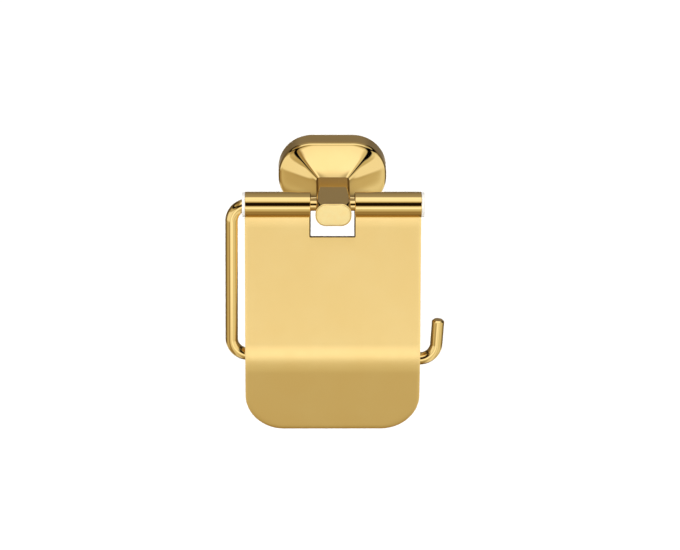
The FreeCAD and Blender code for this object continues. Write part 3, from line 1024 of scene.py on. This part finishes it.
def zinc_steel():
    """Zinc-plated pressed steel with a fine spangle, rubbed brighter on its edges."""
    steel = Finish("zinc_steel", metallic=1.0)
    place = steel.nodes.new("ShaderNodeTexCoord")
    spangle = steel.nodes.new("ShaderNodeTexVoronoi")
    steel.feed(spangle.inputs["Scale"], 650)
    steel.feed(spangle.inputs["Vector"], place.outputs["Object"])
    flakes = steel.remap(spangle.outputs["Color"], 0, 1, 0, 1)
    plated = steel.blend(flakes, (0.27, 0.285, 0.31), (0.43, 0.44, 0.455))
    steel.set("Base Color", steel.blend(steel.edges(0.7), plated, (0.62, 0.62, 0.61)))
    steel.set("Roughness", steel.drift(0.26, 0.42, 500, 4))
    steel.bump(steel.noise(1700, 3), 0.00003, 0.3)
    return steel.material


# ---- Studio

def warm(level, warmth=1.0):
    """A studio surface of that brightness: the dim ones are warm, as the room's gold and wood."""
    dim = max(0.0, 1 - level)
    green = 1 - 0.55 * warmth * dim ** 2
    blue = max(0.08, 1 - warmth * dim ** 1.2)
    return (level, level * green, level * blue)


# Brightness round the object in the upright plane, by angle in degrees from straight in front,
# over the top and to the wall: two soft boxes with the dark gap of the camera between them
AROUND = [
    (-180, 0.12), (-150, 0.42), (-128, 0.30), (-108, 0.10), (-84, 0.15), (-72, 0.30),
    (-58, 0.34), (-46, 0.30), (-38, 0.50), (-30, 0.62), (-22, 0.66), (-17.5, 0.70),
    (-15.5, 1.10), (-8, 1.24), (-3, 1.04), (2, 0.90), (7, 0.62), (13, 0.05), (26, 0.004),
    (38, 0.01), (44, 0.42), (52, 0.80), (58, 1.04), (88, 1.15), (94, 0.55), (100, 0.36),
    (116, 0.34), (128, 0.31), (146, 0.25), (160, 0.24), (172, 0.17), (180, 0.12),
]

# Brightness to the sides, by how far a direction points left (-1) or right (1)
ACROSS = [
    (-1.0, 0.44), (-0.90, 0.52), (-0.78, 0.58), (-0.64, 0.38), (-0.50, 0.32), (-0.36, 0.72),
    (-0.24, 1.08), (-0.12, 1.00), (0.12, 1.00), (0.24, 1.10), (0.40, 0.90), (0.60, 0.68),
    (0.78, 0.78), (0.92, 0.58), (1.0, 0.46),
]

# The studio is less warm behind the object: least above, and a little more below
WARMTH_ABOVE = 0.35
WARMTH_BELOW = 0.55

# Zones of the studio, by a direction's own parts: sideways either way, y to the wall and z up.
# Two numbers are the edges between which a zone starts or stops, and four are both.
BEHIND = (-0.05, 0.26)            # y
BEHIND_SHARE = 0.9
BEHIND_LEVEL = 0.10
LOW_SIDES = (0.12, 0.42)          # sideways
LOW_SIDES_TOP = (-0.02, 0.14)     # z
LEVEL_SIDES = (0.05, 0.18)        # sideways
LEVEL_SIDES_BAND = (-0.22, -0.12, 0.06, 0.14)       # z
FAR_SIDES = (0.42, 0.56)          # sideways
CARD_LEVEL = 0.92
SIDE_CARDS = (0.36, 0.50)         # sideways
SIDE_CARDS_BACK = (-0.10, 0.15)   # y
SIDE_CARDS_BAND = (-0.28, -0.18, 0.20, 0.28)        # z
BACK_CARDS = (0.20, 0.36)         # sideways
BACK_CARDS_FRONT = (0.28, 0.40)   # y
BACK_CARDS_TOP = (-0.58, -0.47)   # z
STRIPS = (0.40, 0.50, 0.84, 0.92)                   # sideways
LEFT_STRIP = (0.42, 0.47, 0.58, 0.63)               # z
RIGHT_STRIP = (0.36, 0.43, 0.60, 0.67)              # z
RIGHT_SIDE = (-0.1, 0.1)          # x

# Lights
LID_CARD_SIZE = (6.0, 1.5)
LID_CARD_AWAY = 3.0
LID_CARD_TILT = math.radians(25.5)
LID_CARD_COLOUR = (1.0, 0.94, 0.84)
LID_CARD_RADIANCE = 0.85
SUN_STRENGTH = 2.5
SUN_ANGLE = math.radians(50)
SUN_DIRECTION = Vector((0.2, 0.45, -0.87))
FILL_POWER = 30
FILL_SIZE = 1.4
FILL_OFFSET = Vector((-1.2, -2.2, 0.9))


def warmth_at(angle):
    if angle > 90:
        return WARMTH_ABOVE
    return WARMTH_BELOW if angle < -90 else 1.0


def ramp(graph, value, stops, low, high, warmth=None):
    """A colour ramp through stops of (place, level), over a value that runs from low to high."""
    node = graph.nodes.new("ShaderNodeValToRGB")
    node.color_ramp.interpolation = "EASE"
    elements = node.color_ramp.elements
    while len(elements) > 1:
        elements.remove(elements[-1])
    for index, (place, level) in enumerate(stops):
        position = (place - low) / (high - low)
        element = elements[0] if index == 0 else elements.new(position)
        element.position = position
        element.color = (*warm(level, warmth(place) if warmth else 1.0), 1)
    graph.feed(node.inputs["Fac"], value)
    return node.outputs["Color"]


def studio_colour(graph, x, y, z, sideways):
    """AROUND in front and overhead, ACROSS at the sides, a dim zone behind and pale cards."""
    angle = graph.maths("ARCTAN2", z, graph.maths("MULTIPLY", y, -1.0))
    turned_share = graph.maths("ADD", graph.maths("DIVIDE", angle, 2 * math.pi), 0.5)
    around = ramp(graph, turned_share, AROUND, -180, 180, warmth_at)
    sideways_share = graph.maths("ADD", graph.maths("DIVIDE", x, 2.0), 0.5)
    across = ramp(graph, sideways_share, ACROSS, -1, 1)
    behind_share = graph.remap(y, 0.0, BEHIND_SHARE, *BEHIND, "SMOOTHSTEP")
    behind = graph.blend(behind_share, across, warm(BEHIND_LEVEL, WARMTH_BELOW))

    low_sides = graph.product(graph.rise(sideways, LOW_SIDES), graph.fall(z, LOW_SIDES_TOP))
    level_sides = graph.product(graph.rise(sideways, LEVEL_SIDES),
                                graph.band(z, LEVEL_SIDES_BAND))
    near_sides = graph.maths("MAXIMUM", low_sides, level_sides)
    sides = graph.maths("MAXIMUM", near_sides, graph.rise(sideways, FAR_SIDES))
    plain = graph.blend(sides, around, behind)

    side_cards = graph.product(graph.rise(sideways, SIDE_CARDS), graph.fall(y, SIDE_CARDS_BACK),
                               graph.band(z, SIDE_CARDS_BAND))
    back_cards = graph.product(graph.rise(sideways, BACK_CARDS), graph.rise(y, BACK_CARDS_FRONT),
                               graph.fall(z, BACK_CARDS_TOP))
    cards = graph.maths("MAXIMUM", side_cards, back_cards)
    return graph.blend(cards, plain, warm(CARD_LEVEL))


def studio_strength(graph, x, z, sideways):
    """1, but for a dark strip at each side between the soft boxes."""
    on_right = graph.rise(x, RIGHT_SIDE)
    on_left = graph.maths("SUBTRACT", 1.0, on_right)
    strips = graph.maths("ADD", graph.product(graph.band(z, LEFT_STRIP), on_left),
                         graph.product(graph.band(z, RIGHT_STRIP), on_right))
    return graph.maths("SUBTRACT", 1.0, graph.product(strips, graph.band(sideways, STRIPS)))


def build_world():
    """The studio lights the object and is mirrored in it; the camera sees plain white."""
    world = bpy.data.worlds.new("studio")
    bpy.context.scene.world = world
    world.use_nodes = True
    world.node_tree.nodes.clear()
    graph = Graph(world.node_tree)
    place = graph.nodes.new("ShaderNodeTexCoord")
    parts = graph.nodes.new("ShaderNodeSeparateXYZ")
    graph.links.new(place.outputs["Generated"], parts.inputs["Vector"])
    x, y, z = (parts.outputs[axis] for axis in "XYZ")
    sideways = graph.maths("ABSOLUTE", x)

    studio = graph.nodes.new("ShaderNodeBackground")
    graph.feed(studio.inputs["Strength"], studio_strength(graph, x, z, sideways))
    graph.feed(studio.inputs["Color"], studio_colour(graph, x, y, z, sideways))
    backdrop = graph.nodes.new("ShaderNodeBackground")
    graph.feed(backdrop.inputs["Color"], (1.0, 1.0, 1.0))
    rays = graph.nodes.new("ShaderNodeLightPath")
    choose = graph.nodes.new("ShaderNodeMixShader")
    out = graph.nodes.new("ShaderNodeOutputWorld")
    graph.links.new(rays.outputs["Is Camera Ray"], choose.inputs["Fac"])
    graph.links.new(studio.outputs["Background"], choose.inputs[1])
    graph.links.new(backdrop.outputs["Background"], choose.inputs[2])
    graph.links.new(choose.outputs["Shader"], out.inputs["Surface"])


def build_floor():
    """A plain pale floor well under the object. The gold reflects the studio and not the floor."""
    level = CAD_BOX[0].z - FLOOR_DROP
    reach = 12.0
    points = [(-reach, -reach, level), (reach, -reach, level), (reach, reach, level),
              (-reach, reach, level)]
    mesh = bpy.data.meshes.new("floor")
    mesh.from_pydata(points, [], [(0, 1, 2, 3)])
    floor = add_object("floor", mesh)
    pale = Finish("pale_floor")
    pale.set("Base Color", (0.93, 0.93, 0.93))
    pale.set("Roughness", 0.9)
    pale.set("Specular IOR Level", 0.1)
    floor.data.materials.append(pale.material)
    floor.visible_glossy = False


def add_lamp(name, kind, direction, place=(0, 0, 0)):
    lamp = add_object(name, bpy.data.lights.new(name, kind))
    lamp.location = place
    lamp.rotation_mode = "QUATERNION"
    lamp.rotation_quaternion = direction.to_track_quat("-Z", "Y")
    return lamp


def build_lid_card(target, lid):
    """A pale card that only the lid sees. It fills the dark gap between the soft boxes, which
    the flat sheet would otherwise mirror whole from eye level."""
    offset = Vector((0, -math.cos(LID_CARD_TILT), math.sin(LID_CARD_TILT))) * LID_CARD_AWAY
    lamp = add_lamp("lid_card", "AREA", -offset, target + offset)
    lamp.data.shape = "RECTANGLE"
    lamp.data.size, lamp.data.size_y = LID_CARD_SIZE
    lamp.data.color = LID_CARD_COLOUR
    lamp.data.energy = LID_CARD_RADIANCE * math.pi * LID_CARD_SIZE[0] * LID_CARD_SIZE[1]
    lamp.visible_camera = False
    seen_by = bpy.data.collections.new("lid_card_receivers")
    seen_by.objects.link(lid)
    lamp.light_linking.receiver_collection = seen_by


def build_lights(lid):
    """Soft light for the nylon and the floor, and a card for the lid. The gold's highlights are
    the studio's own."""
    target = (CAD_BOX[0] + CAD_BOX[1]) / 2
    build_lid_card(target, lid)
    sun = add_lamp("overhead", "SUN", SUN_DIRECTION)
    sun.data.energy = SUN_STRENGTH
    sun.data.angle = SUN_ANGLE
    sun.visible_glossy = False
    fill = add_lamp("fill", "AREA", -FILL_OFFSET, target + FILL_OFFSET)
    fill.data.shape = "DISK"
    fill.data.size = FILL_SIZE
    fill.data.energy = FILL_POWER
    fill.visible_glossy = False


def build_camera():
    camera = add_object("camera", bpy.data.cameras.new("camera"))
    camera.data.sensor_width = CAMERA_SENSOR
    camera.data.lens = CAMERA_LENS
    camera.data.clip_end = 50
    level = math.cos(CAMERA_ELEVATION)
    forward = Vector((math.sin(CAMERA_YAW) * level, math.cos(CAMERA_YAW) * level,
                      -math.sin(CAMERA_ELEVATION)))
    flat_right = Vector((math.cos(CAMERA_YAW), -math.sin(CAMERA_YAW), 0))
    flat_up = flat_right.cross(forward)
    right = flat_right * math.cos(CAMERA_ROLL) - flat_up * math.sin(CAMERA_ROLL)
    up = flat_right * math.sin(CAMERA_ROLL) + flat_up * math.cos(CAMERA_ROLL)
    turn = Matrix((right, up, -forward)).transposed().to_4x4()
    camera.matrix_world = Matrix.Translation(CAMERA_TARGET - forward * CAMERA_DISTANCE) @ turn
    bpy.context.scene.camera = camera


# ---- Assembly

def place(piece, body, node, slot, finish=None):
    if finish:
        piece.data.materials.append(finish)
    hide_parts(node)
    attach(piece, body)


def build_object():
    """Every piece, on its body. The post and the lid have two finishes each, set as they are
    built. Returns the lid."""
    gold = polished_gold("polished_gold", 0.035, 0.075)
    sheet_gold = polished_gold("sheet_gold", 0.19, 0.23)
    nylon = white_nylon()
    steel = zinc_steel()
    place(build_bracket(), "holder", "wall_bracket", "steel", steel)
    place(build_post(gold, cast_gold()), "holder", "post_body", "polished_gold")
    place(build_badge(), "holder", "arm_badge", "satin_gold", satin_gold())
    place(build_rod(), "holder", "roll_rod", "polished_gold", gold)
    for node in ("bracket_set_screw", "rod_set_screw"):
        place(build_screw(node.replace("set", "grub"), node), "holder", node, "steel", steel)
    lid = build_lid(sheet_gold, notch_shade_gold())
    place(lid, "lid", "lid_plate", "polished_gold")
    for word, side in (("left", -1), ("right", 1)):
        tube = build_tube(f"{word}_hinge_tube", side)
        place(tube, "lid", f"lid_tube_{word}", "polished_gold", gold)
        sleeve = build_sleeve(f"{word}_sleeve", side)
        place(sleeve, "lid", f"inner_bush_{word}", "white_nylon", nylon)
    place(build_outer_bush(), "lid", "outer_bush_left", "white_nylon", nylon)
    place(build_end_cap(), "lid", "end_cap_bush_right", "white_nylon", nylon)
    return lid


def main():
    bpy.context.scene.view_settings.view_transform = "Standard"
    build_camera()
    build_world()
    build_floor()
    build_lights(build_object())


main()
